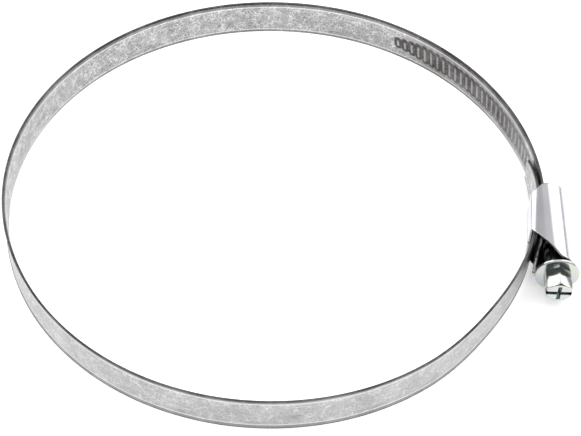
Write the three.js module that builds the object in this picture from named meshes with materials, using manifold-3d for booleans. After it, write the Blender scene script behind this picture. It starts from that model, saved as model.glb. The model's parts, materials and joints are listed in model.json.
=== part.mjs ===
// Worm-drive hose clamp for 130 to 150 mm hoses, lying flat and fully open.
// Millimetres, +Z up. The ring is drawn round its own centre with mid width at z = 0,
// and the last group moves it so that the origin is under the middle of the clamp.
import * as THREE from "three";
import { mergeVertices } from "three/addons/utils/BufferGeometryUtils.js";
import Module from "manifold-3d";

const wasm = await Module();
wasm.setup();

// ---- Driving dimensions ----
const BAND_WIDTH = 12;
const BAND_THICKNESS = 0.7;
const PLAY = 0.3; // gap between pieces that would touch
const OVERLAP = 0.1; // how far joined bodies run into each other
const MARGIN = 1; // how far a cutting body runs past what it cuts

// The threaded end is one arc round the centre that it turns about when it is fed.
const FEED_CENTRE = new THREE.Vector2(1.0, -0.6);
const THREADED_RADIUS = 76.3;
const THREADED_START = -16.5; // degrees, the free tip
const THREADED_END = 70; // degrees, where the plain band goes on
const TIP_TAPER = 3; // length over which the tip narrows
const TIP_HALF_WIDTH = 3.6;
const THREADED_STEPS = 44;

// Embossed thread: slanted grooves pressed into the outside, standing proud inside.
const THREAD_STEP = 1.84; // degrees of arc from groove to groove
const FIRST_GROOVE = -16.32 + THREAD_STEP; // degrees
const GROOVE_COUNT = 42;
const GROOVE_LENGTH = 6;
const GROOVE_WIDTH = 1.45;
const GROOVE_DEPTH = 0.5;
const GROOVE_RISE = 0.25; // height of its back on the inner face
const GROOVE_BACK_WIDTH = 1.15;
const FADING_GROOVES = 4; // the last ones get shorter
const FADED_SHARE = 0.45; // share of the full length that they get shorter towards

// The plain band is cut into equal links, which stand in for its bending.
const LINK_COUNT = 8;
const LAST_JOINT = 348; // degrees round the ring
const LAST_LINK_END = 356; // degrees, hidden in the housing
const FIRST_LINK_LEAD = 0.85; // degrees, as the arc's centre is beside the ring's
const LINK_STEP = 3.8; // degrees from facet to facet

// Mid-line radius of the plain band, as [degrees, radius]: a slack, slightly spiral ring.
const RING_SHAPE = [
  [48, 76.48], [69.2, 76.08], [90, 75.55], [115, 75.2], [150, 75.0], [200, 74.95],
  [270, 74.6], [305, 74.35], [324, 73.65], [338, 74.4], [347, 75.3], [356, 75.75],
  [361, 75.95], [366, 76.0], [371, 75.85],
];

const TONGUE_START = 358.3; // degrees
const TONGUE_END = 370.7;
const TONGUE_TIP_HALF_WIDTH = 4;
const TONGUE_TAPER = 9.6; // length over which the tongue narrows
const TONGUE_CORNER = 0.6;
const TONGUE_STEPS = 8;

const HOUSING_HALF_WIDTH = 7.1;
const HOUSING_WALL = 0.8;
const HOUSING_SIDE_TOP = 79.3; // x where the flat sides turn into the barrel
const BARREL_TOP = 85.2;
const HOUSING_FRONT = -24.3;
const HOUSING_BACK = 2.4;
const FRONT_CUT = { x: 73.8, y: -14.4, slope: -1.44 };
const BACK_CUT = { x: 74.1, y: -0.4, slope: 0.88 };
const SADDLE_FRONT_X = 72.15; // inner face of the saddle at the front cut
const SADDLE_BACK_X = 73.75;
const SADDLE_THICKNESS = 0.7;
const SEAM = 0.4;
const BEND = { depth: 1.28, height: 0.8 }; // the corners between saddle and sides
const ARCH_STEPS = 24;

const SCREW_X = 80.1;
const WORM_RADIUS = 2.85;
const WORM_CORE = 2.2;
const WORM_PITCH = 2.45;
const WORM_FRONT = -8.9;
const WORM_BACK = 0.7;
const CREST_SHARE = 0.13; // share of the pitch from the crest's middle to its edge
const ROOT_SHARE = 0.27; // and to the foot of the flank
const MESHED_GROOVE = 7; // the groove that a crest sits in
const WORM_SEGMENTS = 28;
const WORM_RINGS = 36;
const NECK_RADIUS = 3.1;
const CHEEK_THICKNESS = 0.8;
const CHEEK_FOOT = 0.75; // how far the cheeks reach below the barrel
const FRONT_CHEEK = -10.3;
const BACK_CHEEK = 1.0;
const SCREW_CLEARANCE = 0.25;
const NECK_FILLET = 0.6;
const JOURNAL_RADIUS = 1.7;
const JOURNAL_END = 2.7;
const FLANGE_RADIUS = 6.25;
const FLANGE_BACK = -24.9;
const FLANGE_THICKNESS = 1.0;
const FLANGE_EDGE = 0.3; // chamfer of its rim
const HEX_ACROSS_FLATS = 7;
const HEAD_END = -32;
const HEAD_CHAMFER = { inset: 0.7, slope: 0.65 };
const ROUND_SEGMENTS = 40;
const SLOT = { width: 1.1, depth: 1.7 };
const CROSS = { length: 5.2, width: 1.0, depth: 2.3 };

const ORIGIN_SHIFT = new THREE.Vector3(-5.52, -0.48, HOUSING_HALF_WIDTH);

// ---- Solids ----
function solid(geometry) {
  const bare = geometry.clone();
  bare.deleteAttribute("normal");
  bare.deleteAttribute("uv");
  const merged = mergeVertices(bare, 1e-4);
  const vertProperties = new Float32Array(merged.attributes.position.array);
  const triVerts = new Uint32Array(merged.index.array);
  return new wasm.Manifold(new wasm.Mesh({ numProp: 3, vertProperties, triVerts }));
}

function geometryOf(manifold) {
  const made = manifold.getMesh();
  const geometry = new THREE.BufferGeometry();
  const position = new THREE.BufferAttribute(new Float32Array(made.vertProperties), 3);
  geometry.setAttribute("position", position);
  geometry.setIndex(new THREE.BufferAttribute(new Uint32Array(made.triVerts), 1));
  const faceted = geometry.toNonIndexed();
  faceted.computeVertexNormals();
  return faceted;
}

function box(sizeX, sizeY, sizeZ, x = 0, y = 0) {
  return new THREE.BoxGeometry(sizeX, sizeY, sizeZ).translate(x, y, 0);
}

// An outline in plan (x, y), raised to both sides of mid width.
function planPrism(points, height) {
  const shape = new THREE.Shape(points);
  const geometry = new THREE.ExtrudeGeometry(shape, { depth: height, bevelEnabled: false });
  return geometry.translate(0, 0, -height / 2);
}

// An outline seen along the screw (x, z), run from one y to another.
function sectionPrism(points, fromY, toY) {
  const shape = new THREE.Shape(points);
  const depth = toY - fromY;
  const geometry = new THREE.ExtrudeGeometry(shape, { depth, bevelEnabled: false });
  return geometry.rotateX(Math.PI / 2).translate(0, toY, 0);
}

// An outline seen from outside the band (y, z), run through x from the ring's centre outwards.
function sidePrism(points) {
  const shape = new THREE.Shape(points);
  const geometry = new THREE.ExtrudeGeometry(shape, { depth: BARREL_TOP, bevelEnabled: false });
  return geometry.rotateX(Math.PI / 2).rotateZ(Math.PI / 2);
}

// A profile of [radius, y] pairs turned round the screw's axis.
function turned(profile) {
  const points = profile.map(([radius, y]) => new THREE.Vector2(radius, y));
  return new THREE.LatheGeometry(points, ROUND_SEGMENTS).translate(SCREW_X, 0, 0);
}

function mesh(name, geometry, material) {
  const made = new THREE.Mesh(geometry, material);
  made.name = name;
  return made;
}

// ---- Band ----
// Radius of the ring's mid-line, eased between the keys of RING_SHAPE by cubic Hermite pieces.
function ringRadius(degrees) {
  const last = RING_SHAPE.length - 1;
  let i = 1;
  while (i < last - 2 && RING_SHAPE[i + 1][0] < degrees) i += 1;
  const slopeAt = (k) =>
    (RING_SHAPE[k + 1][1] - RING_SHAPE[k - 1][1]) / (RING_SHAPE[k + 1][0] - RING_SHAPE[k - 1][0]);
  const [a, ra] = RING_SHAPE[i];
  const [b, rb] = RING_SHAPE[i + 1];
  const t = (degrees - a) / (b - a);
  const rise = t * t * (3 - 2 * t);
  const leave = t * (1 - t) * (1 - t) * (b - a) * slopeAt(i);
  const arrive = t * t * (t - 1) * (b - a) * slopeAt(i + 1);
  return ra + (rb - ra) * rise + leave + arrive;
}

function polar(radius, degrees) {
  const angle = THREE.MathUtils.degToRad(degrees);
  return new THREE.Vector2(radius * Math.cos(angle), radius * Math.sin(angle));
}

function ringPoint(degrees) {
  return polar(ringRadius(degrees), degrees);
}

function ringNormal(degrees) {
  const step = 0.05;
  const along = ringPoint(degrees + step).sub(ringPoint(degrees - step)).normalize();
  return new THREE.Vector2(along.y, -along.x);
}

// A strip of band between two angles of the ring.
function ringStrip(from, to, steps) {
  const outer = [];
  const inner = [];
  for (let i = 0; i <= steps; i += 1) {
    const degrees = from + ((to - from) * i) / steps;
    const middle = ringPoint(degrees);
    const across = ringNormal(degrees).multiplyScalar(BAND_THICKNESS / 2);
    outer.push(middle.clone().add(across));
    inner.push(middle.clone().sub(across));
  }
  return planPrism([...outer, ...inner.reverse()], BAND_WIDTH);
}

function bandLink(index) {
  const trim = THREE.MathUtils.radToDeg(PLAY / 2 / THREADED_RADIUS);
  const pitch = (LAST_JOINT - THREADED_END) / LINK_COUNT;
  const from = THREADED_END + index * pitch - (index === 0 ? FIRST_LINK_LEAD : 0);
  const isLast = index === LINK_COUNT - 1;
  const to = isLast ? LAST_LINK_END : THREADED_END + (index + 1) * pitch;
  return ringStrip(from + trim, to - trim, Math.round((to - from) / LINK_STEP));
}

function fixedEnd() {
  const strip = solid(ringStrip(TONGUE_START, TONGUE_END, TONGUE_STEPS));
  const root = ringPoint(TONGUE_START).y - MARGIN;
  const tip = ringPoint(TONGUE_END).y;
  const shoulder = tip - TONGUE_TAPER;
  const half = BAND_WIDTH / 2;
  const outline = [
    new THREE.Vector2(root, -half),
    new THREE.Vector2(shoulder, -half),
    new THREE.Vector2(tip - TONGUE_CORNER, -TONGUE_TIP_HALF_WIDTH),
    new THREE.Vector2(tip, -TONGUE_TIP_HALF_WIDTH + TONGUE_CORNER),
    new THREE.Vector2(tip, TONGUE_TIP_HALF_WIDTH - TONGUE_CORNER),
    new THREE.Vector2(tip - TONGUE_CORNER, TONGUE_TIP_HALF_WIDTH),
    new THREE.Vector2(shoulder, half),
    new THREE.Vector2(root, half),
  ];
  return geometryOf(strip.intersect(solid(sidePrism(outline))));
}

// A block at an angle of the threaded arc, slanted like the thread.
function grooveBlock(degrees, length, width, fromRadius, toRadius) {
  const slant = Math.atan(WORM_PITCH / (2 * Math.PI * WORM_RADIUS));
  const block = box(toRadius - fromRadius, width, length);
  block.rotateX(-slant);
  block.translate((fromRadius + toRadius) / 2, 0, 0);
  block.rotateZ(THREE.MathUtils.degToRad(degrees));
  return block.translate(FEED_CENTRE.x, FEED_CENTRE.y, 0);
}

function threadedEnd() {
  const innerRadius = THREADED_RADIUS - BAND_THICKNESS / 2;
  const outerRadius = THREADED_RADIUS + BAND_THICKNESS / 2;
  const trim = THREE.MathUtils.radToDeg(PLAY / 2 / THREADED_RADIUS);
  const span = THREADED_END - trim - THREADED_START;
  const outer = [];
  const inner = [];
  for (let i = 0; i <= THREADED_STEPS; i += 1) {
    const degrees = THREADED_START + (span * i) / THREADED_STEPS;
    outer.push(polar(outerRadius, degrees).add(FEED_CENTRE));
    inner.push(polar(innerRadius, degrees).add(FEED_CENTRE));
  }
  let strip = solid(planPrism([...outer, ...inner.reverse()], BAND_WIDTH));
  for (let i = 0; i < GROOVE_COUNT; i += 1) {
    const degrees = FIRST_GROOVE + i * THREAD_STEP;
    const left = GROOVE_COUNT - i;
    const share = FADED_SHARE + ((1 - FADED_SHARE) * left) / (FADING_GROOVES + 1);
    const length = GROOVE_LENGTH * Math.min(1, share);
    const bottom = outerRadius - GROOVE_DEPTH;
    const crown = innerRadius - GROOVE_RISE;
    const back = grooveBlock(degrees, length, GROOVE_BACK_WIDTH, crown, innerRadius + OVERLAP);
    const groove = grooveBlock(degrees, length, GROOVE_WIDTH, bottom, outerRadius + MARGIN);
    strip = strip.add(solid(back)).subtract(solid(groove));
  }
  const tip = polar(THREADED_RADIUS, THREADED_START).add(FEED_CENTRE);
  const half = BAND_WIDTH / 2;
  const outline = [
    new THREE.Vector2(tip.y + TIP_TAPER, half),
    new THREE.Vector2(tip.y - MARGIN, TIP_HALF_WIDTH),
    new THREE.Vector2(tip.y - MARGIN, -TIP_HALF_WIDTH),
    new THREE.Vector2(tip.y + TIP_TAPER, -half),
    new THREE.Vector2(THREADED_RADIUS, -half),
    new THREE.Vector2(THREADED_RADIUS, half),
  ];
  return geometryOf(strip.intersect(solid(sidePrism(outline))));
}

// ---- Housing ----
// The barrel's arch, drawn an inset further in.
function archPoints(inset) {
  const radiusX = BARREL_TOP - inset - HOUSING_SIDE_TOP;
  const radiusZ = HOUSING_HALF_WIDTH - inset;
  const points = [];
  for (let i = 0; i <= ARCH_STEPS; i += 1) {
    const angle = -Math.PI / 2 + (Math.PI * i) / ARCH_STEPS;
    const x = HOUSING_SIDE_TOP + radiusX * Math.cos(angle);
    points.push(new THREE.Vector2(x, radiusZ * Math.sin(angle)));
  }
  return points;
}

function cheek(fromY, holeRadius) {
  const half = HOUSING_HALF_WIDTH - HOUSING_WALL / 2;
  const foot = HOUSING_SIDE_TOP - CHEEK_FOOT;
  const outline = [
    new THREE.Vector2(foot, -half),
    ...archPoints(HOUSING_WALL / 2),
    new THREE.Vector2(foot, half),
  ];
  const toY = fromY + CHEEK_THICKNESS;
  const plate = solid(sectionPrism(outline, fromY, toY));
  const hole = turned([
    [0, fromY - MARGIN],
    [holeRadius, fromY - MARGIN],
    [holeRadius, toY + MARGIN],
    [0, toY + MARGIN],
  ]);
  const depth = SCREW_X - foot + MARGIN;
  const slot = box(depth, CHEEK_THICKNESS + MARGIN, 2 * holeRadius, SCREW_X - depth / 2,
    (fromY + toY) / 2);
  return plate.subtract(solid(hole)).subtract(solid(slot));
}

function housing() {
  const half = HOUSING_HALF_WIDTH;
  const low = SADDLE_FRONT_X - OVERLAP;
  const outline = [
    new THREE.Vector2(low, half - BEND.height),
    new THREE.Vector2(low, BEND.height - half),
    new THREE.Vector2(low + BEND.depth, -half),
    ...archPoints(0),
    new THREE.Vector2(low + BEND.depth, half),
  ];
  const frontAt = (x) => FRONT_CUT.y + FRONT_CUT.slope * (x - FRONT_CUT.x);
  const backAt = (x) => BACK_CUT.y + BACK_CUT.slope * (x - BACK_CUT.x);
  const frontCorner = FRONT_CUT.x + (HOUSING_FRONT - FRONT_CUT.y) / FRONT_CUT.slope;
  const backCorner = BACK_CUT.x + (HOUSING_BACK - BACK_CUT.y) / BACK_CUT.slope;
  const plan = [
    new THREE.Vector2(SADDLE_FRONT_X, frontAt(SADDLE_FRONT_X)),
    new THREE.Vector2(frontCorner, HOUSING_FRONT),
    new THREE.Vector2(BARREL_TOP + MARGIN, HOUSING_FRONT),
    new THREE.Vector2(BARREL_TOP + MARGIN, HOUSING_BACK),
    new THREE.Vector2(backCorner, HOUSING_BACK),
    new THREE.Vector2(SADDLE_BACK_X, backAt(SADDLE_BACK_X)),
  ];
  const fromY = HOUSING_FRONT - MARGIN;
  const toY = HOUSING_BACK + MARGIN;
  const sleeve = solid(sectionPrism(outline, fromY, toY));
  const wall = sleeve.intersect(solid(planPrism(plan, 2 * half + MARGIN)));

  const lean = (SADDLE_BACK_X - SADDLE_FRONT_X) / (backAt(SADDLE_BACK_X) - frontAt(SADDLE_FRONT_X));
  const saddleTop = (y) =>
    SADDLE_FRONT_X + SADDLE_THICKNESS + lean * (y - frontAt(SADDLE_FRONT_X));
  const tunnel = [
    new THREE.Vector2(saddleTop(fromY), fromY),
    new THREE.Vector2(HOUSING_SIDE_TOP + OVERLAP, fromY),
    new THREE.Vector2(HOUSING_SIDE_TOP + OVERLAP, toY),
    new THREE.Vector2(saddleTop(toY), toY),
  ];
  const vault = solid(sectionPrism(archPoints(HOUSING_WALL), fromY, toY));
  const hollow = solid(planPrism(tunnel, 2 * (half - HOUSING_WALL))).add(vault);
  const seamDepth = 2 * (SADDLE_BACK_X + SADDLE_THICKNESS + MARGIN - SADDLE_FRONT_X);
  const seam = box(seamDepth, toY - fromY, SEAM, SADDLE_FRONT_X, (fromY + toY) / 2);
  const front = cheek(FRONT_CHEEK, WORM_CORE + SCREW_CLEARANCE);
  const back = cheek(BACK_CHEEK, JOURNAL_RADIUS + SCREW_CLEARANCE);
  return geometryOf(wall.subtract(hollow).subtract(solid(seam)).add(front).add(back));
}

// ---- Worm screw ----
// Height of the thread at a share of the pitch from the crest's middle: flat crest, sloped flanks.
function threadHeight(share) {
  const away = Math.abs(share - Math.round(share));
  return THREE.MathUtils.clamp((ROOT_SHARE - away) / (ROOT_SHARE - CREST_SHARE), 0, 1);
}

function worm() {
  const length = WORM_BACK - WORM_FRONT;
  const geometry = new THREE.CylinderGeometry(
    WORM_CORE, WORM_CORE, length, WORM_SEGMENTS, WORM_RINGS);
  geometry.translate(0, (WORM_FRONT + WORM_BACK) / 2, 0);
  // A crest meets the band's grooves on the side that faces them.
  const groove = polar(THREADED_RADIUS, FIRST_GROOVE + MESHED_GROOVE * THREAD_STEP);
  const grooveY = groove.add(FEED_CENTRE).y;
  const position = geometry.attributes.position;
  for (let i = 0; i < position.count; i += 1) {
    const x = position.getX(i);
    const y = position.getY(i);
    const z = position.getZ(i);
    const radius = Math.hypot(x, z);
    if (radius < WORM_CORE / 2) continue;
    // Turns round the axis, counted from the side that faces the band.
    const turn = Math.atan2(x, z) / (2 * Math.PI) + 1 / 4;
    const height = threadHeight((y - grooveY) / WORM_PITCH - turn);
    const grown = (WORM_CORE + (WORM_RADIUS - WORM_CORE) * height) / radius;
    position.setX(i, x * grown);
    position.setZ(i, z * grown);
  }
  return solid(geometry.translate(SCREW_X, 0, 0));
}

function wormScrew() {
  const flangeFront = FLANGE_BACK - FLANGE_THICKNESS;
  const hexRadius = HEX_ACROSS_FLATS / Math.sqrt(3);
  const neckBack = FRONT_CHEEK - SCREW_CLEARANCE;
  const shank = turned([
    [0, flangeFront],
    [FLANGE_RADIUS - FLANGE_EDGE, flangeFront],
    [FLANGE_RADIUS, flangeFront + FLANGE_EDGE],
    [FLANGE_RADIUS, FLANGE_BACK - FLANGE_EDGE],
    [FLANGE_RADIUS - FLANGE_EDGE, FLANGE_BACK],
    [NECK_RADIUS + NECK_FILLET, FLANGE_BACK],
    [NECK_RADIUS, FLANGE_BACK + NECK_FILLET],
    [NECK_RADIUS, neckBack],
    [WORM_CORE, neckBack],
    [WORM_CORE, WORM_FRONT + OVERLAP],
    [0, WORM_FRONT + OVERLAP],
  ]);
  const journal = turned([
    [0, WORM_BACK - OVERLAP],
    [JOURNAL_RADIUS, WORM_BACK - OVERLAP],
    [JOURNAL_RADIUS, JOURNAL_END],
    [0, JOURNAL_END],
  ]);
  const hexLength = flangeFront + OVERLAP - HEAD_END;
  const hex = new THREE.CylinderGeometry(hexRadius, hexRadius, hexLength, 6);
  hex.translate(SCREW_X, HEAD_END + hexLength / 2, 0);
  const crown = turned([
    [0, HEAD_END],
    [hexRadius - HEAD_CHAMFER.inset, HEAD_END],
    [hexRadius + MARGIN, HEAD_END + HEAD_CHAMFER.slope * (HEAD_CHAMFER.inset + MARGIN)],
    [hexRadius + MARGIN, flangeFront + MARGIN],
    [0, flangeFront + MARGIN],
  ]);
  const slot = box(2 * HEX_ACROSS_FLATS, SLOT.depth * 2, SLOT.width, SCREW_X, HEAD_END);
  const cross = box(CROSS.width, CROSS.depth * 2, CROSS.length, SCREW_X, HEAD_END);
  const head = solid(hex).intersect(solid(crown)).subtract(solid(slot)).subtract(solid(cross));
  return geometryOf(solid(shank).add(worm()).add(solid(journal)).add(head));
}

// ---- Materials ----
const zincBand = new THREE.MeshStandardMaterial({ color: 0xc4c5c3, roughness: 0.42, metalness: 0.9 });
const zincHousing = new THREE.MeshStandardMaterial({ color: 0xcfd0d4, roughness: 0.2, metalness: 1 });
const zincScrew = new THREE.MeshStandardMaterial({ color: 0xd6d4c8, roughness: 0.18, metalness: 1 });

// ---- Assembly ----
const ring = new THREE.Group();
ring.add(mesh("housing", housing(), zincHousing));
ring.add(mesh("worm_screw", wormScrew(), zincScrew));
ring.add(mesh("band_fixed_end", fixedEnd(), zincBand));
ring.add(mesh("band_threaded_end", threadedEnd(), zincBand));
for (let i = 0; i < LINK_COUNT; i += 1) {
  const name = "band_link_" + String(i + 1).padStart(2, "0");
  ring.add(mesh(name, bandLink(i), zincBand));
}
ring.position.copy(ORIGIN_SHIFT);

const clamp = new THREE.Group();
clamp.name = "hose_clamp";
clamp.add(ring);

export default clamp;
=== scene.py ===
"""A worm-drive hose clamp, lying open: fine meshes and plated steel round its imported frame."""

import json
import math

import bmesh
import bpy
import numpy as np
from mathutils import Matrix, Vector


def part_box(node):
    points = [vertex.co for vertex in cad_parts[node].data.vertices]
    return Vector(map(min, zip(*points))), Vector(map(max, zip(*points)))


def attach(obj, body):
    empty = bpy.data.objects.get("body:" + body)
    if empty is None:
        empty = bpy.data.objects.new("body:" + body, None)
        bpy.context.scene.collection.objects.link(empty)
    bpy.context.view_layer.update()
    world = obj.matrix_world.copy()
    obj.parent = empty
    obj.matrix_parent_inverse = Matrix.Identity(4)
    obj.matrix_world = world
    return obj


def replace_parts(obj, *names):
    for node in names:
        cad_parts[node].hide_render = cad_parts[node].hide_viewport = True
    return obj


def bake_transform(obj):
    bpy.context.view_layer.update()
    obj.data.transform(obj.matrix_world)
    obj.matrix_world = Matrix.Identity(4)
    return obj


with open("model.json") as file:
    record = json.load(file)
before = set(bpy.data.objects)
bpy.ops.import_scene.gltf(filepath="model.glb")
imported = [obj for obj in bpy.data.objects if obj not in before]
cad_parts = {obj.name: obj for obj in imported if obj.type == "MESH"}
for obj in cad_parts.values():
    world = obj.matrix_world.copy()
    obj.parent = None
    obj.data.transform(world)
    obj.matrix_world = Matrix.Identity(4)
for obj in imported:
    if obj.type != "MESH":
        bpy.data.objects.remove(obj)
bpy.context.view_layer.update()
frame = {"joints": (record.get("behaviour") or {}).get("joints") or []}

# ---- Sizes in millimetres, round the ring's centre, with the band's middle at z = 0 ----
BAND_WIDTH = 12.0
BAND_THICKNESS = 0.7
BAND_EDGE_RADIUS = 0.26
EDGE_STEPS = 3
FLARE = {"start": 4.7, "rise": 0.32, "power": 1.6}  # the long edges bend outwards, off the hose
FLARE_END = (352.0, 338.0)  # degrees, where the flare fades out before the housing

FEED_CENTRE = Vector((1.0, -0.6, 0.0))  # the threaded end is an arc round this point
THREADED_RADIUS = 76.3
TIP_ANGLE = -16.5  # degrees
THREADED_TOP = 63.5  # degrees, where the first plain run takes over
ARC_END = 69.8  # degrees, where the arc gives way to the slack ring
TIP_TAPER = 3.0
TIP_HALF_WIDTH = 3.6

THREAD_STEP = 1.84  # degrees from groove to groove
FIRST_GROOVE = -14.48  # degrees
GROOVE_COUNT = 42
MESHED_GROOVE = 7  # the groove, counted from 0, that a crest of the worm sits in at rest
GROOVE_HALF_LENGTH = 3.0
FADING_GROOVES = 4
FADED_SHARE = 0.45  # of a full groove's length, one groove past the last
GROOVE_SLANT = 0.137  # millimetres along for each millimetre across
# A wall runs between two distances outside the groove's or rib's outline.
GROOVE = {"half_width": 0.72, "depth": 0.5, "corner": 0.6, "wall": (0.12, -0.38)}
RIB = {"half_width": 0.5, "height": 0.3, "corner": 0.46, "inset": 0.45, "wall": (0.1, -0.3)}
RIB_DIP = {"depth": 0.05, "middle": 0.45, "spread": 0.3}  # the steel is drawn down round each rib
RELIEF_ROWS = np.arange(-3.5, 3.6, 0.25)  # across the grooves
STATIONS_PER_GROOVE = 16
# The grid leans with the grooves, but not at the strip's edges, its tip or its plain end.
LEAN = {"across": (5.4, 3.6), "from_tip": (0.3, 1.2), "before_top": 1.0}
# Dull steel and painted shade on the inner face: a dark halo round each rib, in millimetres from its
# outline, which grows in strength over some degrees of the arc, and a faint darkening between the
# ribs, which is likewise partly dull steel and partly painted shade.
HALO = {"inner": (-0.28, 0.0), "outer": (1.05, 0.75), "least": 0.5, "grows": (15, 38)}
BETWEEN_RIBS = {"most": 0.3, "grows": (8, 25), "fades": 12}

# The slack ring's mid-line as (degrees, radius), the same curve as in the CAD.
RING_SHAPE = [
    (48, 76.48), (69.2, 76.08), (90, 75.55), (115, 75.2), (150, 75.0), (200, 74.95),
    (270, 74.6), (305, 74.35), (324, 73.65), (338, 74.4), (347, 75.3), (356, 75.75),
    (361, 75.95), (366, 76.0), (371, 75.85),
]
RUN_END = 356.0  # degrees, inside the housing
RUN_STEP = 0.5  # degrees
TONGUE = {"start": 358.3, "end": 370.7, "taper": 9.6, "half_width": 4.0, "corner": 0.6}
TONGUE_STEPS = (26, 8)  # stations, along it and crowded at its tip
TONGUE_TIP = {"degrees": 0.5, "thinner": 0.2, "over": 0.25}  # where they crowd, and its thin edge

HOUSING_WALL = 0.8
HOUSING_EDGE_RADIUS = 0.22
HOUSING_STEPS = {"saddle": 8, "bend": 13, "side": 12, "barrel": 25}
HOUSING_ROWS = np.concatenate([[-1, -0.97], np.linspace(-0.9, 0.9, 19), [0.97, 1]])
SADDLE_FRONT, SADDLE_BACK = 73.1, 74.25  # x of the saddle's middle layer
SADDLE_MIDDLE = (SADDLE_FRONT + SADDLE_BACK) / 2
SADDLE_SLOPE = {"length": 13, "middle_y": -7, "fades": (4, 0.5)}  # it fades out up the sides
BEND = {"depth": 3.2, "height": 1.0}  # the soft corner between the saddle and the sides
SIDE_TOP = 78.5  # x where the flat sides turn into the barrel
BARREL_TOP = 85.2
HOUSING_FRONT, HOUSING_BACK = -24.3, 2.4
FRONT_CUT = {"x": 73.8, "y": -14.4, "slope": -1.44, "softness": 0.7}
BACK_CUT = {"x": 74.1, "y": -0.4, "slope": 0.88, "softness": 0.5}
SEAM = 0.4

SCREW_X = 80.1
SCREW_SEGMENTS = 96
CAP_RADIUS = 0.4  # a turned body's ends are closed by a small flat cap
WORM = {"radius": 2.85, "core": 2.2, "pitch": 2.45, "front": -8.9, "back": 0.7}
WORM_LEAD = 0.3  # plain core in front of the ridge
WORM_RIDGE = {"foot": 0.28, "crest": 0.12, "run_out": 0.8}  # shares of the pitch, and millimetres
WORM_RINGS = 110
CHEEKS = {"front": (-10.3, 2.45), "back": (1.0, 1.95)}  # y and hole radius
CHEEK_THICKNESS = 0.8
CHEEK_EDGE_RADIUS = 0.12
CHEEK_INSET = HOUSING_WALL * 0.8  # from the housing's outside, so that they reach into its wall
CHEEK_STEPS = {"arch": 41, "hole": 25}
NECK_RADIUS = 3.1
JOURNAL = {"radius": 1.7, "overlap": 0.4, "past_cheek": 0.9, "cap_radius": 0.3}
NECK_CLEARANCE = 0.3  # from the neck's end to the front cheek
FLANGE_RADIUS = 6.25
FLANGE_BACK, FLANGE_FRONT = -24.9, -25.9
FLANGE_FACE = {"flat_radius": 3.9, "slope": 0.14}
HEX_ACROSS_FLATS = 7.0
HEX_OVERLAP = 0.2
HEAD_END = -32.0
HEAD_CHAMFER = {"inset": 0.75, "past_corner": 0.6, "depth": 0.9}
HEAD_EDGE_RADIUS = 0.09
SLOT = {"length": 10, "width": 1.2, "depth": 1.7}
CROSS = {"length": 5.2, "width": 1.0, "depth": 2.3}
# Where the slot and the cross are darkened with painted shade.
RECESS_SHADE = {"from": 0.25, "to": 2.4, "half_width": 0.63, "past_flats": 0.6}

# ---- Light and view ----
FLOOR_HALF = 12.0  # metres
# Azimuth and elevation in degrees, metres away, width and height in metres, watts.
SOFTBOXES = {
    "overhead": (0, 82, 1.5, (2.2, 1.6), 20),
    "far_left": (132, 32, 1.6, (1.3, 1.1), 9),
    "far_right": (-126, 31, 1.6, (1.55, 1.15), 11),
    "behind": (178, 47, 1.7, (1.1, 0.8), 0.65),
}
WORLD_GLOW = {"between": (-0.55, 0.1), "near": 0.13, "far": 0.32}  # by the direction's Y
CAMERA = {"elevation": 49.3, "roll": -2.0, "distance": 450, "aim": (6.0, -8.2, 0.0)}
LENS = {"focal_length": 98.5, "sensor": 36}

MM = 0.001
joints = {joint["name"]: joint for joint in frame["joints"]}
RING_CENTRE = Vector(joints["band_feed"]["pos_m"]) - FEED_CENTRE * MM
HALF_HOUSING = (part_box("housing")[1].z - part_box("housing")[0].z) / 2 / MM


# ---- Helpers ----
def ease(start, end, value):
    """0 before start, 1 after end, and a smooth rise between them."""
    share = np.clip((value - start) / (end - start), 0, 1)
    return share * share * (3 - 2 * share)


def piece(name, points, faces, material):
    """A mesh from points in millimetres round the ring's centre, smooth but for its sharp edges."""
    mesh = bpy.data.meshes.new(name)
    placed = np.asarray(points, float) * MM + np.array(RING_CENTRE)
    mesh.from_pydata(placed.tolist(), [], faces)
    obj = bpy.data.objects.new(name, mesh)
    bpy.context.scene.collection.objects.link(obj)
    mesh.materials.append(material)
    return obj


def finish_mesh(obj, sharp_degrees=38):
    """Turns the faces outward, shades them smooth and keeps edges over sharp_degrees sharp."""
    shape = bmesh.new()
    shape.from_mesh(obj.data)
    bmesh.ops.recalc_face_normals(shape, faces=shape.faces)
    for face in shape.faces:
        face.smooth = True
    for edge in shape.edges:
        edge.smooth = edge.calc_face_angle(0) < math.radians(sharp_degrees)
    shape.to_mesh(obj.data)
    shape.free()
    return obj


def loft(name, rings, along, around, material):
    """A closed body through rings of points. Its UV map is the millimetres along and around it."""
    rings = np.asarray(rings, float)
    count, loop = rings.shape[:2]
    faces, strip = [], []
    for i in range(count - 1):
        for j in range(loop):
            k = (j + 1) % loop
            faces.append((i * loop + j, i * loop + k, (i + 1) * loop + k, (i + 1) * loop + j))
            strip += [(along[i], around[j]), (along[i], around[j + 1])]
            strip += [(along[i + 1], around[j + 1]), (along[i + 1], around[j])]
    for i in (0, count - 1):
        faces.append(tuple(i * loop + j for j in range(loop)))
        strip += [(along[i], around[j]) for j in range(loop)]
    obj = piece(name, rings.reshape(-1, 3), faces, material)
    layer = obj.data.uv_layers.new(name="strip")
    layer.data.foreach_set("uv", np.array(strip, np.float32).ravel())
    return obj


def applied(obj):
    """Makes the modifiers' result the object's own mesh."""
    depsgraph = bpy.context.evaluated_depsgraph_get()
    made = bpy.data.meshes.new_from_object(obj.evaluated_get(depsgraph))
    obj.modifiers.clear()
    obj.data = made
    return obj


def combine(obj, tool, operation):
    """A boolean of two meshes, which uses the second one up."""
    modifier = obj.modifiers.new("combine", "BOOLEAN")
    modifier.operation, modifier.object, modifier.solver = operation, tool, "EXACT"
    applied(obj)
    bpy.data.objects.remove(tool)


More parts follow.
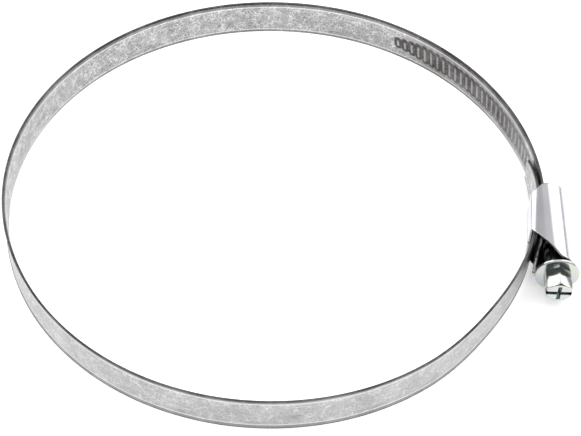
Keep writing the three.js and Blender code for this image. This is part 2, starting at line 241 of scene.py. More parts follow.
def round_edges(obj, width, segments=2, over_degrees=35):
    """Bevels the edges that turn by more than over_degrees. width is in millimetres."""
    modifier = obj.modifiers.new("round", "BEVEL")
    modifier.width, modifier.segments = width * MM, segments
    modifier.limit_method, modifier.angle_limit = "ANGLE", math.radians(over_degrees)
    modifier.use_clamp_overlap = False
    return applied(obj)


# ---- Band ----
def ring_radius(degrees):
    """Radius of the ring's mid-line, eased between the keys by cubic Hermite pieces."""
    last = len(RING_SHAPE) - 1
    i = 1
    while i < last - 2 and RING_SHAPE[i + 1][0] < degrees:
        i += 1

    def slope(k):
        (before, low), (after, high) = RING_SHAPE[k - 1], RING_SHAPE[k + 1]
        return (high - low) / (after - before)

    (a, ra), (b, rb) = RING_SHAPE[i], RING_SHAPE[i + 1]
    t = (degrees - a) / (b - a)
    rise = (rb - ra) * t * t * (3 - 2 * t)
    leave = t * (1 - t) ** 2 * (b - a) * slope(i)
    return ra + rise + leave + t * t * (t - 1) * (b - a) * slope(i + 1)


def ring_point(degrees):
    angle = math.radians(degrees)
    return ring_radius(degrees) * np.array((math.cos(angle), math.sin(angle)))


def ring_station(degrees, nudge=0.05):
    """A point of the mid-line, the outward normal there and the millimetres along the band."""
    way = ring_point(degrees + nudge) - ring_point(degrees - nudge)
    normal = np.array((way[1], -way[0])) / np.hypot(*way)
    return ring_point(degrees), normal, THREADED_RADIUS * math.radians(degrees)


def arc_station(degrees):
    """The same for the threaded arc, at an angle round the feed centre."""
    angle = math.radians(degrees)
    normal = np.array((math.cos(angle), math.sin(angle)))
    point = THREADED_RADIUS * normal + np.array(FEED_CENTRE[:2])
    return point, normal, THREADED_RADIUS * math.atan2(point[1], point[0])


def strip_loop(rows, half_width, half_thickness, radius):
    """A flat strip's rounded section as (height, across).

    It runs over the outer face, the top edge, the inner face and the bottom edge.
    """
    flat, crest = half_width - radius, half_thickness - radius
    turns = [math.radians(90 * i / EDGE_STEPS) for i in range(EDGE_STEPS + 1)]
    half = [(half_thickness, flat * row) for row in rows]
    half += [(crest + radius * math.cos(t), flat + radius * math.sin(t)) for t in turns[1:]]
    half += [(-crest - radius * math.sin(t), flat + radius * math.cos(t)) for t in turns[:-1]]
    return np.array(half + [(-height, -across) for height, across in half])


def flared(loop, share=1.0):
    """The section with its long edges bent outwards."""
    past = np.maximum(np.abs(loop[:, 1]) - FLARE["start"], 0) / (BAND_WIDTH / 2 - FLARE["start"])
    bent = share * FLARE["rise"] * past ** FLARE["power"]
    return np.column_stack([loop[:, 0] + bent, loop[:, 1]])


def perimeter(loop):
    """The distance round a closed section, at each of its points and back at the first."""
    steps = np.roll(loop, -1, axis=0) - loop
    return np.concatenate([[0], np.cumsum(np.hypot(steps[:, 0], steps[:, 1]))])


# Where a section has points, as shares of its flat half-width: close together on the bent edges.
EDGE_ROWS = [0.82, 0.86, 0.9, 0.94, 0.97, 1]
PLAIN_ROWS = [-row for row in EDGE_ROWS[::-1]] + [-0.5, 0, 0.5] + EDGE_ROWS
PLAIN_LOOP = strip_loop(PLAIN_ROWS, BAND_WIDTH / 2, BAND_THICKNESS / 2, BAND_EDGE_RADIUS)


def sweep(stations, loops):
    """Rings of points: each loop stands on its station, height outward and across along Z."""
    rings = []
    for (point, normal, _), loop in zip(stations, loops):
        flat = point + loop[:, :1] * normal
        rings.append(np.column_stack([flat, loop[:, 1]]))
    return rings


def plain_run(name, stations):
    """A plain piece of band, whose flare fades out before the housing."""
    degrees = [math.degrees(station[2] / THREADED_RADIUS) % 360 for station in stations]
    rings = sweep(stations, [flared(PLAIN_LOOP, float(ease(*FLARE_END, a))) for a in degrees])
    along = [station[2] for station in stations]
    return finish_mesh(loft(name, rings, along, perimeter(PLAIN_LOOP), band_zinc))


def band_runs():
    """The plain band, cut at the middle of each link, so that each run spans one joint.

    The first run starts on the threaded end's arc. The last one is rigid and runs into the housing.
    """
    hinges = sorted(name for name in joints if name.startswith("bend_"))
    places = [(Vector(joints[name]["pos_m"]) - RING_CENTRE) for name in hinges]
    angles = [math.degrees(math.atan2(place.y, place.x)) % 360 for place in places]
    middles = [(a + b) / 2 for a, b in zip(angles, angles[1:])]
    middles.append(angles[-1] + (angles[-1] - angles[-2]) / 2)
    start = math.degrees(arc_station(ARC_END)[2] / THREADED_RADIUS)
    stations = [arc_station(a) for a in np.arange(THREADED_TOP, ARC_END, RUN_STEP)]
    for i, end in enumerate(middles + [RUN_END]):
        count = round((end - start) / RUN_STEP)
        stations += [ring_station(a) for a in np.linspace(start, end, count + 1)]
        run = plain_run(f"band_run_{i:02d}", stations)
        if i < len(hinges):
            joint = joints[hinges[i]]
            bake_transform(run)
            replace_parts(run, joint["child"])
        else:
            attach(run, joints[hinges[-1]]["child"])
        start, stations = end, []


def frame_point(x, y, z):
    """A point of the ring in the frame's metres."""
    return tuple(Vector((x, y, z)) * MM + RING_CENTRE)


def rounded_slot(along, across, half_width, half_length, corner):
    """Distance outside a rounded slot's outline, negative inside it."""
    over_u = np.abs(along) - (half_width - corner)
    over_v = np.abs(across) - (half_length - corner)
    outside = np.hypot(np.maximum(over_u, 0), np.maximum(over_v, 0))
    return outside + np.minimum(np.maximum(over_u, over_v), 0) - corner


def groove_place(degrees, across):
    """Millimetres along from the nearest groove's slanted centre line, and its half length."""
    slant = np.degrees(GROOVE_SLANT * across / THREADED_RADIUS)
    index = np.clip(np.round((degrees - slant - FIRST_GROOVE) / THREAD_STEP), 0, GROOVE_COUNT - 1)
    centre = FIRST_GROOVE + index * THREAD_STEP + slant
    fading = FADED_SHARE + (1 - FADED_SHARE) * (GROOVE_COUNT - index) / (FADING_GROOVES + 1)
    half_length = GROOVE_HALF_LENGTH * np.minimum(1, fading)
    return np.radians(degrees - centre) * THREADED_RADIUS, half_length


def groove_depth(degrees, across):
    """How deep the worm's grooves are pressed into the outer face."""
    along, half_length = groove_place(degrees, across)
    away = rounded_slot(along, across, GROOVE["half_width"], half_length, GROOVE["corner"])
    return GROOVE["depth"] * ease(*GROOVE["wall"], away)


def rib_shape(degrees, across):
    """How far a groove's back stands out of the inner face, and how dark the steel round it is, partly
    dull steel and partly painted shade.
    """
    along, half_length = groove_place(degrees, across)
    half_length = half_length - RIB["inset"]
    away = rounded_slot(along, across, RIB["half_width"], half_length, RIB["corner"])
    dip = np.exp(-(((away - RIB_DIP["middle"]) / RIB_DIP["spread"]) ** 2))
    height = RIB["height"] * ease(*RIB["wall"], away) - RIB_DIP["depth"] * dip
    return height, ease(*HALO["inner"], away) * ease(*HALO["outer"], away)


def threaded_angles():
    """Where the threaded end has stations: a few round the tip's edge, and then an even row."""
    edge = [BAND_EDGE_RADIUS * (1 - math.cos(math.radians(a))) for a in (0, 30, 60)]
    angles = [TIP_ANGLE + math.degrees(step / THREADED_RADIUS) for step in edge]
    first = TIP_ANGLE + math.degrees(BAND_EDGE_RADIUS / THREADED_RADIUS)
    spacing = THREAD_STEP / STATIONS_PER_GROOVE
    return angles + list(np.arange(first, THREADED_TOP - spacing / 2, spacing)) + [THREADED_TOP]


def threaded_loop(rows, from_tip):
    """The section at a distance from the tip, which narrows and is rounded."""
    radius = BAND_EDGE_RADIUS
    narrow = (BAND_WIDTH / 2 - TIP_HALF_WIDTH) * (1 - min(1, from_tip / TIP_TAPER))
    inset = radius - math.sqrt(max(0, radius**2 - max(0, radius - from_tip) ** 2))
    half_width = BAND_WIDTH / 2 - narrow - inset
    least_radius = 0.03
    edge = max(radius - inset, least_radius)
    return strip_loop(rows, half_width, BAND_THICKNESS / 2 - inset, edge)


def threaded_band():
    """The embossed end. Its grid follows the slanted grooves."""
    relief_rows = RELIEF_ROWS / (BAND_WIDTH / 2 - BAND_EDGE_RADIUS)
    beside_relief = 0.74
    plain = np.array([beside_relief, *EDGE_ROWS])
    rows = np.concatenate([-plain[::-1], relief_rows, plain])
    full = strip_loop(rows, BAND_WIDTH / 2, BAND_THICKNESS / 2, BAND_EDGE_RADIUS)
    outer = np.zeros(len(full), bool)
    outer[: len(rows)] = True
    inner = np.roll(outer, len(full) // 2)
    angles = threaded_angles()
    rings, dull_and_shade = [], []
    for angle in angles:
        from_tip = math.radians(angle - TIP_ANGLE) * THREADED_RADIUS
        height, across = flared(threaded_loop(rows, from_tip)).T
        lean = ease(*LEAN["across"], np.abs(across)) * ease(*LEAN["from_tip"], from_tip)
        lean = lean * ease(THREADED_TOP, THREADED_TOP - LEAN["before_top"], angle)
        degrees = angle + np.degrees(GROOVE_SLANT * across * lean / THREADED_RADIUS)
        rise, halo = rib_shape(degrees, across)
        height -= np.where(outer, groove_depth(degrees, across), 0)
        height -= np.where(inner, rise, 0)
        reach = THREADED_RADIUS + height
        turn = np.radians(degrees)
        rings.append(np.column_stack([
            FEED_CENTRE.x + reach * np.cos(turn), FEED_CENTRE.y + reach * np.sin(turn), across,
        ]))
        # Darkening between and round the ribs on the inner face: partly dull steel, partly painted
        # shade.
        between = float(ease(THREADED_TOP, THREADED_TOP - BETWEEN_RIBS["fades"], angle)
                        * ease(*BETWEEN_RIBS["grows"], angle)) * BETWEEN_RIBS["most"]
        halo *= HALO["least"] + (1 - HALO["least"]) * float(ease(*HALO["grows"], angle))
        dull_and_shade.append(np.where(inner, between + (1 - between) * halo, 0))
    along = [arc_station(angle)[2] for angle in angles]
    obj = loft("threaded_band", rings, along, perimeter(full), band_zinc)
    layer = obj.data.attributes.new("dull_and_shade", "FLOAT", "POINT")
    layer.data.foreach_set("value", np.concatenate(dull_and_shade).astype(np.float32))
    finish_mesh(obj, sharp_degrees=70)
    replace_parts(obj, "band_threaded_end")
    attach(obj, "tail")


def tongue_loop(from_tip):
    """The tongue's section at a distance from its tip, which is tapered, rounded and thinned."""
    corner = TONGUE["corner"]
    share = np.clip((TONGUE["taper"] - from_tip) / (TONGUE["taper"] - corner), 0, 1)
    half_width = BAND_WIDTH / 2 + (TONGUE["half_width"] - BAND_WIDTH / 2) * share
    half_width -= corner - math.sqrt(max(0, corner**2 - max(0.0, corner - from_tip) ** 2))
    thinner = TONGUE_TIP["thinner"] * ease(TONGUE_TIP["over"], 0.0, from_tip)
    least_radius = 0.05
    edge = max(BAND_EDGE_RADIUS - thinner, least_radius)
    return strip_loop(PLAIN_ROWS, half_width, BAND_THICKNESS / 2 - thinner, edge)


def band_tongue():
    """The band's other end, which lies under the threaded end past the housing."""
    crowded, (steps, tip_steps) = TONGUE_TIP["degrees"], TONGUE_STEPS
    angles = list(np.linspace(TONGUE["start"], TONGUE["end"] - crowded, steps))
    angles += list(TONGUE["end"] - crowded * (1 - np.linspace(0, 1, tip_steps)[1:]) ** 2)
    stations = [ring_station(angle) for angle in angles]
    tip_y = ring_point(TONGUE["end"])[1]
    rings = sweep(stations, [tongue_loop(tip_y - point[1]) for point, _, _ in stations])
    along = [station[2] for station in stations]
    obj = loft("band_tongue", rings, along, perimeter(PLAIN_LOOP), band_zinc)
    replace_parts(finish_mesh(obj), "band_fixed_end")
    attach(obj, "clamp_base")


# ---- Housing ----
def housing_path():
    """The housing's middle layer seen along the screw: (x, z, normal x, normal z), lip to lip."""
    half = HALF_HOUSING - HOUSING_WALL / 2
    top = BARREL_TOP - HOUSING_WALL / 2 - SIDE_TOP
    flat = np.linspace(SEAM / 2, half - BEND["height"], HOUSING_STEPS["saddle"])
    path = [(SADDLE_MIDDLE, -z, -1, 0) for z in flat]
    for angle in np.radians(np.linspace(180, 270, HOUSING_STEPS["bend"])[1:]):
        slant = np.array((math.cos(angle) / BEND["depth"], math.sin(angle) / BEND["height"]))
        slant /= np.hypot(*slant)
        x = SADDLE_MIDDLE + BEND["depth"] * (1 + math.cos(angle))
        z = -half + BEND["height"] * (1 + math.sin(angle))
        path.append((x, z, *slant))
    for x in np.linspace(SADDLE_MIDDLE + BEND["depth"], SIDE_TOP, HOUSING_STEPS["side"])[1:-1]:
        path.append((x, -half, 0, -1))
    for angle in np.radians(np.linspace(-90, 0, HOUSING_STEPS["barrel"])):
        slant = np.array((math.cos(angle) / top, math.sin(angle) / half))
        slant /= np.hypot(*slant)
        path.append((SIDE_TOP + top * math.cos(angle), half * math.sin(angle), *slant))
    return path + [(x, -z, nx, -nz) for x, z, nx, nz in path[-2::-1]]


def cut_edge(cut, x, limit, sign):
    """The y of a slanted cut at x, held to one side of limit with a rounded corner.

    sign is 1 for a lower limit and -1 for an upper one.
    """
    y = cut["y"] + cut["slope"] * (x - cut["x"])
    return (y + limit + sign * math.hypot(y - limit, cut["softness"])) / 2


def housing_shell():
    """One folded sheet: saddle with a seam, bent corners, flat sides and a barrel over the worm."""
    path = np.array(housing_path(), float)
    rings = []
    for x, z, nx, nz in path:
        front = cut_edge(FRONT_CUT, x, HOUSING_FRONT, 1)
        back = cut_edge(BACK_CUT, x, HOUSING_BACK, -1)
        loop = strip_loop(HOUSING_ROWS, (back - front) / 2, HOUSING_WALL / 2, HOUSING_EDGE_RADIUS)
        y = (front + back) / 2 + loop[:, 1]
        fade = float(ease(*(SADDLE_MIDDLE + reach for reach in SADDLE_SLOPE["fades"]), x))
        lean = (SADDLE_BACK - SADDLE_FRONT) / SADDLE_SLOPE["length"] * fade
        rings.append(np.column_stack([
            x + nx * loop[:, 0] + lean * (y - SADDLE_SLOPE["middle_y"]), y, z + nz * loop[:, 0],
        ]))
    along = np.concatenate([[0], np.cumsum(np.hypot(*np.diff(path[:, :2], axis=0).T))])
    half_length = 12.0  # a typical one, for the UV map
    loop = strip_loop(HOUSING_ROWS, half_length, HOUSING_WALL / 2, HOUSING_EDGE_RADIUS)
    obj = loft("housing_shell", rings, along, perimeter(loop), housing_zinc)
    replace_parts(finish_mesh(obj), "housing")
    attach(obj, "clamp_base")


def prism(name, outline, start, end, material):
    """An outline of (x, z) points run along Y."""
    count = len(outline)
    points = [(x, y, z) for y in (start, end) for x, z in outline]
    faces = [(i, (i + 1) % count, count + (i + 1) % count, count + i) for i in range(count)]
    faces += [tuple(range(count)), tuple(range(count, 2 * count))]
    return finish_mesh(piece(name, points, faces, material))


def cheek(name, y, hole_radius):
    """An arched plate inside the barrel, slotted so that it straddles the screw."""
    half = HALF_HOUSING - CHEEK_INSET
    top = BARREL_TOP - CHEEK_INSET - SIDE_TOP
    arch = np.radians(np.linspace(-90, 90, CHEEK_STEPS["arch"]))
    hole = np.radians(np.linspace(90, -90, CHEEK_STEPS["hole"]))
    outline = [(SIDE_TOP, -half)]
    outline += [(SIDE_TOP + top * math.cos(a), half * math.sin(a)) for a in arch]
    outline += [(SIDE_TOP, half), (SIDE_TOP, hole_radius)]
    outline += [(SCREW_X + hole_radius * math.cos(a), hole_radius * math.sin(a)) for a in hole]
    outline.append((SIDE_TOP, -hole_radius))
    obj = prism(name, outline, y, y + CHEEK_THICKNESS, housing_zinc)
    finish_mesh(round_edges(obj, CHEEK_EDGE_RADIUS))
    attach(obj, "clamp_base")


# ---- Screw ----
def filleted(profile, radii, steps=5):
    """A profile of (radius, y) points with its inner corners rounded."""
    made = [profile[0]]
    for before, here, after, radius in zip(profile, profile[1:], profile[2:], radii):
        here = Vector(here)
        a, b = (Vector(before) - here).normalized(), (Vector(after) - here).normalized()
        half_angle = a.angle(b) / 2
        reach = radius / math.tan(half_angle)
        centre = here + (a + b).normalized() * (radius / math.sin(half_angle))
        start, end = here + a * reach - centre, here + b * reach - centre
        for i in range(steps + 1):
            made.append(tuple(centre + start.lerp(end, i / steps).normalized() * radius))
    return made + [profile[-1]]


def turned(name, profile, segments=SCREW_SEGMENTS):
    """A profile of (radius, y) turned round the screw's axis."""
    turn = np.radians(np.arange(segments) * 360 / segments)
    rings = []
    for radius, y in profile:
        x, z = SCREW_X + radius * np.cos(turn), radius * np.sin(turn)
        rings.append(np.column_stack([x, np.full(segments, y), z]))
    along = perimeter(np.array(profile))[:-1]
    around = np.linspace(0, 2 * math.pi * FLANGE_RADIUS, segments + 1)
    return finish_mesh(loft(name, rings, along, around, screw_zinc), sharp_degrees=50)


def flange_and_neck():
    """The flange and the neck. The hidden core between here and the worm isn't modelled."""
    neck_end = CHEEKS["front"][0] - NECK_CLEARANCE
    profile = [
        (CAP_RADIUS, FLANGE_FRONT), (FLANGE_FACE["flat_radius"], FLANGE_FRONT),
        (FLANGE_RADIUS, FLANGE_FRONT + FLANGE_FACE["slope"]), (FLANGE_RADIUS, FLANGE_BACK),
        (NECK_RADIUS, FLANGE_BACK), (NECK_RADIUS, neck_end), (CAP_RADIUS, neck_end),
    ]
    fillets = [0.3, 0.32, 0.25, 0.6, 0.3]
    obj = turned("flange_and_neck", filleted(profile, fillets))
    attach(obj, "screw")


def journal():
    """The screw's thin end, in the back cheek."""
    start = WORM["back"] - JOURNAL["overlap"]
    end = CHEEKS["back"][0] + CHEEK_THICKNESS + JOURNAL["past_cheek"]
    radius, cap = JOURNAL["radius"], JOURNAL["cap_radius"]
    fillets = [0.05, 0.3]
    profile = filleted([(cap, start), (radius, start), (radius, end), (cap, end)], fillets)
    obj = turned("screw_journal", profile, segments=48)
    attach(obj, "screw")


def worm():
    """The core with one right-hand ridge, whose crests sit in the band's grooves."""
    meshed = math.radians(FIRST_GROOVE + MESHED_GROOVE * THREAD_STEP)
    mesh_y = FEED_CENTRE.y + THREADED_RADIUS * math.sin(meshed)
    stations = np.linspace(WORM["front"] - WORM_LEAD, WORM["back"], WORM_RINGS)
    turn = np.arange(SCREW_SEGMENTS) / SCREW_SEGMENTS
    angle = 2 * math.pi * turn
    run_out = WORM_RIDGE["run_out"]
    rings = []
    for y in stations:
        share = (y - mesh_y) / WORM["pitch"] + turn - 0.5
        away = np.abs(share - np.round(share))
        height = ease(WORM_RIDGE["foot"], WORM_RIDGE["crest"], away)
        height = height * ease(WORM["front"], WORM["front"] + run_out, y)
        height = height * ease(WORM["back"], WORM["back"] - run_out, y)
        radius = WORM["core"] + (WORM["radius"] - WORM["core"]) * height
        rings.append(np.column_stack([
            SCREW_X + radius * np.cos(angle), np.full(SCREW_SEGMENTS, y), radius * np.sin(angle),
        ]))
    around = np.linspace(0, 2 * math.pi * WORM["radius"], SCREW_SEGMENTS + 1)
    obj = loft("worm", rings, stations, around, screw_zinc)
    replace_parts(finish_mesh(obj, 60), "worm_screw")
    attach(obj, "screw")


def shade_recesses(head):
    """Marks the points of the slot and the cross, for the material to darken as painted shade."""
    reach = HEX_ACROSS_FLATS / 2 + RECESS_SHADE["past_flats"]
    marks = []
    for place in [(v.co - RING_CENTRE) / MM for v in head.data.vertices]:
        near, far = sorted((abs(place.x - SCREW_X), abs(place.z)))
        deep = RECESS_SHADE["from"] < place.y - HEAD_END < RECESS_SHADE["to"]
        marks.append(float(deep and near < RECESS_SHADE["half_width"] and far < reach))
    layer = head.data.attributes.new("dull_and_shade", "FLOAT", "POINT")
    layer.data.foreach_set("value", marks)


def hexagon_head():
    """A chamfered hexagon with a full-width slot crossed by a shorter and deeper recess."""
    before, behind = HEAD_END - 1, HEAD_END + 9  # past both ends of the hexagon
    corner = HEX_ACROSS_FLATS / math.sqrt(3)
    outline = [
        (SCREW_X + corner * math.cos(a), corner * math.sin(a))
        for a in np.radians(np.arange(30, 390, 60))
    ]
    start = FLANGE_FRONT + HEX_OVERLAP
    head = prism("hexagon_head", outline, HEAD_END, start, screw_zinc)
    outside = corner + HEAD_CHAMFER["past_corner"]
    dome = [
        (CAP_RADIUS, HEAD_END), (corner - HEAD_CHAMFER["inset"], HEAD_END),
        (outside, HEAD_END + HEAD_CHAMFER["depth"]), (outside, behind),
    ]
    fillets = [0.5, 0.2]
    combine(head, turned("dome", filleted(dome, fillets)), "INTERSECT")
    recesses = (
        (SLOT["length"], SLOT["width"], SLOT["depth"]),
        (CROSS["width"], CROSS["length"], CROSS["depth"]),
    )
    for size_x, size_z, depth in recesses:
        corners = ((-1, -1), (1, -1), (1, 1), (-1, 1))
        outline = [(SCREW_X + x * size_x / 2, z * size_z / 2) for x, z in corners]
        tool = prism("recess", outline, before, HEAD_END + depth, screw_zinc)
        combine(head, tool, "DIFFERENCE")
    finish_mesh(round_edges(head, HEAD_EDGE_RADIUS), sharp_degrees=50)
    # Painted shade: darkens the slot and the cross.
    shade_recesses(head)
    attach(head, "screw")


# ---- Materials ----
def new_material(name):
    """A material with its node tree and its surface shader."""
    material = bpy.data.materials.new(name)
    material.use_nodes = True
    return material, material.node_tree, material.node_tree.nodes["Principled BSDF"]


def node(tree, kind, inputs=(), **settings):
    """A shader node: inputs are (socket, value or socket to link) pairs."""
    made = tree.nodes.new("ShaderNode" + kind)
    for key, value in settings.items():
        setattr(made, key, value)
    for key, value in inputs:
        if isinstance(value, bpy.types.NodeSocket):
            tree.links.new(value, made.inputs[key])
        else:
            made.inputs[key].default_value = value
    return made


def math_node(tree, operation, *values):
    return node(tree, "Math", list(enumerate(values)), operation=operation).outputs[0]


def weighted(tree, base, terms):
    """base plus each socket times its weight."""
    total = base
    for socket, weight in terms:
        total = math_node(tree, "MULTIPLY_ADD", socket, weight, total)
    return total


def spread(tree, value, low, high, to_low=0.0, to_high=1.0):
    """value's range from low to high as to_low to to_high, smoothly and held at the ends."""
    inputs = [("Value", value), (1, low), (2, high), (3, to_low), (4, to_high)]
    made = node(tree, "MapRange", inputs, interpolation_type="SMOOTHSTEP")
    return made.outputs["Result"]


def scaled(tree, vector, scale):
    return node(tree, "Mapping", [("Vector", vector), ("Scale", scale)]).outputs["Vector"]


def noise(tree, vector, scale, detail=2.0, roughness=0.5, distortion=0.0):
    inputs = [("Vector", vector), ("Scale", scale), ("Detail", detail)]
    inputs += [("Roughness", roughness), ("Distortion", distortion)]
    return node(tree, "TexNoise", inputs)


def mixed(tree, factor, low, high):
    """A colour between two, each a socket or three numbers."""
    inputs = [("Factor", factor)]
    for place, colour in ((6, low), (7, high)):  # the Mix node's colour sockets
        inputs.append((place, colour if isinstance(colour, bpy.types.NodeSocket) else (*colour, 1)))
    return node(tree, "Mix", inputs, data_type="RGBA").outputs[2]


def plate_surface(tree, surface, colour, rough, height, bump_strength, bump_depth):
    """Gives a metal its colour, roughness and bump, whose depth is in millimetres."""
    inputs = [("Height", height), ("Strength", bump_strength), ("Distance", bump_depth * MM)]
    bump = node(tree, "Bump", inputs).outputs["Normal"]
    surface.inputs["Metallic"].default_value = 1.0
    for name, socket in (("Base Color", colour), ("Roughness", rough), ("Normal", bump)):
        tree.links.new(socket, surface.inputs[name])


def make_band_zinc():
    """Satin zinc: crystals on the inner face, fine rolling lines outside and dull sheared edges, with a
    painted dark reflection on the bent edges, a painted highlight on their crease and dull steel and
    painted shade round the ribs.
    """
    material, tree, surface = new_material("band_zinc")
    strip = node(tree, "UVMap", uv_map="strip").outputs["UV"]
    around = node(tree, "SeparateXYZ", [("Vector", strip)]).outputs["Y"]
    marks = perimeter(PLAIN_LOOP)
    half = len(PLAIN_LOOP) // 2
    outer_end, inner_start = marks[len(PLAIN_ROWS) - 1], marks[half]
    inner_end = marks[half + len(PLAIN_ROWS) - 1]

    def inside(low, high, inset, softness):
        rise = spread(tree, around, low + inset - softness, low + inset + softness)
        fall = spread(tree, around, high - inset + softness, high - inset - softness)
        return math_node(tree, "MULTIPLY", rise, fall)

    def faces(inset, softness):
        outer_face = inside(0, outer_end, inset, softness)
        inner_face = inside(inner_start, inner_end, inset, softness)
        return math_node(tree, "ADD", outer_face, inner_face)

    # The places on the strip: 1 on the inner face, in the sheared edge, in the wider edge that is
    # bent outwards, which gets a painted dark reflection, in the thin crease where it starts, which
    # gets a painted highlight, and in the dull steel and painted shade round the ribs.
    inner = inside(inner_start, inner_end, 0.0, 0.1)
    edge = weighted(tree, 1.0, [(faces(0.12, 0.16), -1.0)])
    bent_edge_reflection = weighted(tree, 1.0, [(faces(0.95, 0.12), -1.0)])
    crease_highlight = weighted(tree, 0.0, [(faces(1.0, 0.08), 1.0), (faces(1.4, 0.12), -1.0)])
    # Places marked round the ribs, darkened partly as dull steel and partly as painted shade.
    dull_and_shade = node(tree, "Attribute", attribute_name="dull_and_shade").outputs["Fac"]

    # Crystals: lines between cells of two sizes, in patches, with a tint for each large cell.
    large, small = 0.85, 1.9  # cells in a millimetre
    warp = noise(tree, strip, 0.5, 2).outputs["Color"]
    warp_inputs = [(0, warp), (1, (2.2, 2.2, 0)), (2, strip)]
    warped = node(tree, "VectorMath", warp_inputs, operation="MULTIPLY_ADD").outputs[0]

    def cell_lines(scale, width):
        inputs = [("Vector", warped), ("Scale", scale)]
        cracks = node(tree, "TexVoronoi", inputs, feature="DISTANCE_TO_EDGE").outputs["Distance"]
        return spread(tree, cracks, 0.0, width, 1, 0)

    lines = weighted(tree, 0.0, [(cell_lines(large, 0.13), 1.0), (cell_lines(small, 0.12), 0.6)])
    patches = spread(tree, noise(tree, strip, 0.35, 3).outputs["Fac"], 0.38, 0.62)
    lines = math_node(tree, "MULTIPLY", lines, weighted(tree, 0.35, [(patches, 0.65)]))
    cells = node(tree, "TexVoronoi", [("Vector", warped), ("Scale", large)]).outputs["Color"]
    cell = node(tree, "SeparateXYZ", [("Vector", cells)]).outputs["X"]
    fine = noise(tree, strip, 2.8, 4, 0.7).outputs["Fac"]
    specks = spread(tree, noise(tree, strip, 3.4, 2, 0.6).outputs["Fac"], 0.4, 0.3)
    mottle = weighted(tree, -0.66, [(lines, 0.85), (cell, 0.2), (fine, 0.85), (specks, -0.6)])
    plain = math_node(tree, "MAXIMUM", dull_and_shade, math_node(tree, "MULTIPLY", bent_edge_reflection, 0.3))
    calm = spread(tree, plain, 0.0, 0.3, 1.0, 0.25)
    strength = math_node(tree, "MULTIPLY", weighted(tree, 0.6, [(inner, 0.4)]), calm)
    crystal = math_node(tree, "MULTIPLY", mottle, strength)

    # Cloudy tint, and rolling lines along the strip.
    cloud = noise(tree, strip, 0.12, 3).outputs["Fac"]
    rolled = noise(tree, scaled(tree, strip, (0.05, 2.4, 1)), 1.5, 4, 0.65).outputs["Fac"]
    # Painted dark reflection on the bent edge and painted highlight on its crease, both in the colour.
    value = weighted(tree, 0.14, [
        (inner, -0.1), (crystal, 0.58), (cloud, 0.4), (rolled, 0.4), (edge, -0.3),
        (bent_edge_reflection, -0.2), (crease_highlight, 0.4), (dull_and_shade, -0.4),
    ])
    colour = mixed(tree, value, (0.07, 0.063, 0.06), (0.76, 0.765, 0.775))
    rough = weighted(tree, 0.3, [(fine, 0.1), (crystal, 0.1), (edge, 0.1), (dull_and_shade, 0.06)])
    height = weighted(tree, 0.0, [(crystal, 0.6), (rolled, 0.5), (fine, 0.3)])
    plate_surface(tree, surface, colour, rough, height, bump_strength=0.35, bump_depth=0.03)
    return material


def make_plated(name, dark, light, roughness, tint_scale, grain, shade_colour=(0.48, 0.53, 0.5)):
    """Bright zinc plate on a formed part: faint clouds, drawing lines, a little orange peel and painted
    shade on marked points.

    tint_scale is the clouds in a metre. grain scales the lines along each axis: the smaller, the
    longer they are. The last argument is the colour of the painted shade on the points that the
    mesh's attribute marks.
    """
    material, tree, surface = new_material(name)
    place = node(tree, "TexCoord").outputs["Object"]
    cloud = noise(tree, place, tint_scale, 2, 0.5, 0.6).outputs["Fac"]
    drawn = noise(tree, scaled(tree, place, grain), 900, 3, 0.6).outputs["Fac"]
    peel = noise(tree, place, 1400, 2).outputs["Fac"]
    dull_and_shade = node(tree, "Attribute", attribute_name="dull_and_shade").outputs["Fac"]
    plate = mixed(tree, weighted(tree, -0.35, [(cloud, 1.3), (drawn, 0.4)]), dark, light)
    # Painted shade on the marked points.
    colour = mixed(tree, dull_and_shade, plate, shade_colour)
    rough = weighted(tree, roughness - 0.06, [(drawn, 0.08), (peel, 0.06)])
    height = weighted(tree, 0.0, [(drawn, 0.5), (peel, 0.4)])
    plate_surface(tree, surface, colour, rough, height, bump_strength=0.2, bump_depth=0.015)
    return material


# ---- Studio ----
def make_floor():
    """A pale floor, which glows a little so that it comes out white."""
    mesh = bpy.data.meshes.new("floor")
    corners = [(x * FLOOR_HALF, y * FLOOR_HALF, 0) for x, y in ((-1, -1), (1, -1), (1, 1), (-1, 1))]
    mesh.from_pydata(corners, [], [(0, 1, 2, 3)])
    floor = bpy.data.objects.new("floor", mesh)
    bpy.context.scene.collection.objects.link(floor)
    material, _, surface = new_material("floor")
    surface.inputs["Base Color"].default_value = (0.93, 0.93, 0.93, 1)
    surface.inputs["Roughness"].default_value = 0.7
    surface.inputs["Emission Color"].default_value = (1, 1, 1, 1)
    surface.inputs["Emission Strength"].default_value = 0.4
    mesh.materials.append(material)


def softbox(name, azimuth, elevation, distance, size, power):
    """A rectangular lamp that looks at the clamp. Azimuth 0 is behind the camera and 90 on the left."""
    lamp = bpy.data.lights.new(name, "AREA")
    lamp.shape, lamp.size, lamp.size_y = "RECTANGLE", *size
    lamp.energy = power
    obj = bpy.data.objects.new(name, lamp)
    a, e = math.radians(azimuth), math.radians(elevation)
    way = Vector((-math.sin(a) * math.cos(e), -math.cos(a) * math.cos(e), math.sin(e)))
    obj.location = way * distance
    obj.rotation_euler = way.to_track_quat("Z", "Y").to_euler()
    bpy.context.scene.collection.objects.link(obj)


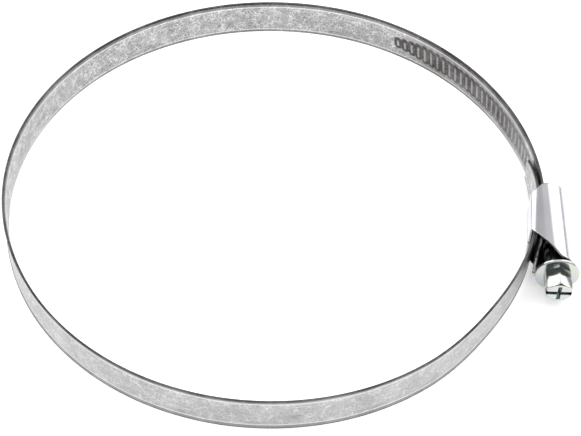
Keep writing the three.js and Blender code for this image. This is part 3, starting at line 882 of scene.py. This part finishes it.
def make_lights():
    """The lamps, and a dim world that is brighter on the far side than on the camera's."""
    world = bpy.data.worlds.new("studio")
    world.use_nodes = True
    tree = world.node_tree
    way = node(tree, "TexCoord").outputs["Generated"]
    away = node(tree, "SeparateXYZ", [("Vector", way)]).outputs["Y"]
    glow = spread(tree, away, *WORLD_GLOW["between"], WORLD_GLOW["near"], WORLD_GLOW["far"])
    tree.links.new(glow, tree.nodes["Background"].inputs["Strength"])
    tree.nodes["Background"].inputs["Color"].default_value = (1, 1, 1, 1)
    bpy.context.scene.world = world
    for name, values in SOFTBOXES.items():
        softbox(name, *values)


def make_camera():
    """A long lens that looks down at the clamp and is rolled a little."""
    elevation, roll = math.radians(CAMERA["elevation"]), math.radians(CAMERA["roll"])
    lens = bpy.data.cameras.new("camera")
    lens.sensor_fit, lens.sensor_width = "HORIZONTAL", LENS["sensor"]
    lens.lens = LENS["focal_length"]
    camera = bpy.data.objects.new("camera", lens)
    back = Vector((0, -math.cos(elevation), math.sin(elevation)))
    right = Vector((1, 0, 0))
    up = back.cross(right)
    turned_right = math.cos(roll) * right - math.sin(roll) * up
    turned_up = math.sin(roll) * right + math.cos(roll) * up
    camera.matrix_world = Matrix.LocRotScale(
        frame_point(*(Vector(CAMERA["aim"]) + back * CAMERA["distance"])),
        Matrix((turned_right, turned_up, back)).transposed().to_quaternion(), None,
    )
    bpy.context.scene.collection.objects.link(camera)
    bpy.context.scene.camera = camera


band_zinc = make_band_zinc()
housing_zinc = make_plated(
    "housing_zinc", dark=(0.6, 0.58, 0.64), light=(0.76, 0.755, 0.785), roughness=0.2,
    tint_scale=60, grain=(0.2, 0.02, 0.2),
)
screw_zinc = make_plated(
    "screw_zinc", dark=(0.6, 0.585, 0.47), light=(0.5, 0.56, 0.64), roughness=0.15,
    tint_scale=300, grain=(0.3, 0.3, 0.3),
)

threaded_band()
band_runs()
band_tongue()
housing_shell()
cheek("front_cheek", *CHEEKS["front"])
cheek("back_cheek", *CHEEKS["back"])
flange_and_neck()
journal()
worm()
hexagon_head()

make_floor()
make_lights()
make_camera()
bpy.context.scene.view_settings.view_transform = "Standard"
